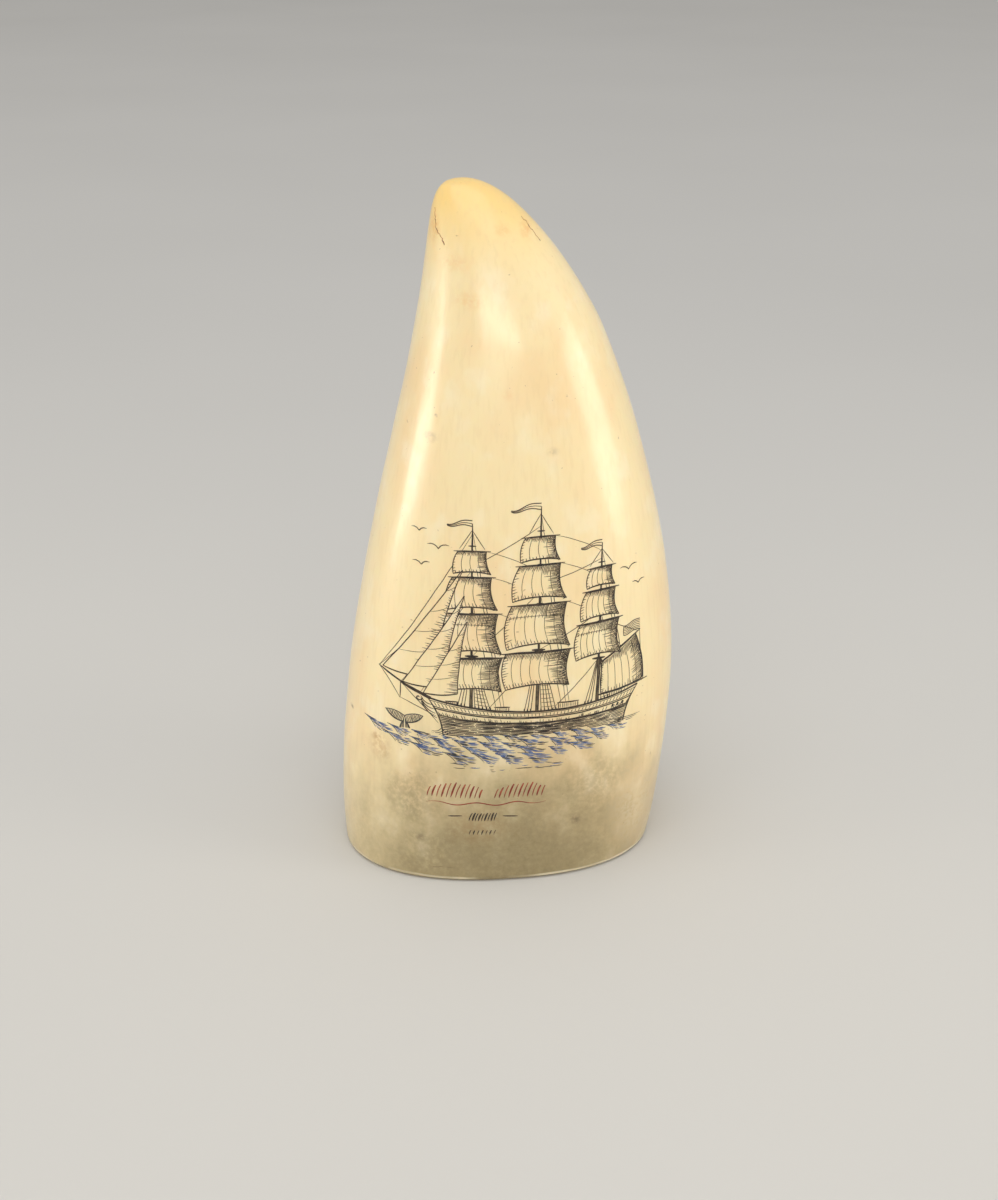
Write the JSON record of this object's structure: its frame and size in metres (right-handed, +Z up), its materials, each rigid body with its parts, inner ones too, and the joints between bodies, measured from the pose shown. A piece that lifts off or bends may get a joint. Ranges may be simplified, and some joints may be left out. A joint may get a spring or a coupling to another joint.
{
  "type": "scrimshaw whale tooth",
  "caption": "Polished whale tooth, sawn flat at the root so that it stands, leaning up to a blunt tip, with a broad face for inked engraving.",
  "frame": {"origin": "on the sawn base, under the middle of the overall width and depth", "axes": "+Z up through the tooth's height, -Y out of the engraved face, -X the way the tip leans"},
  "size_m": [0.0752, 0.051, 0.15],
  "materials": {
    "tooth": "gloss"
  },
  "bodies": {
    "root": {"tooth": "tooth"}
  },
  "joints": []
}
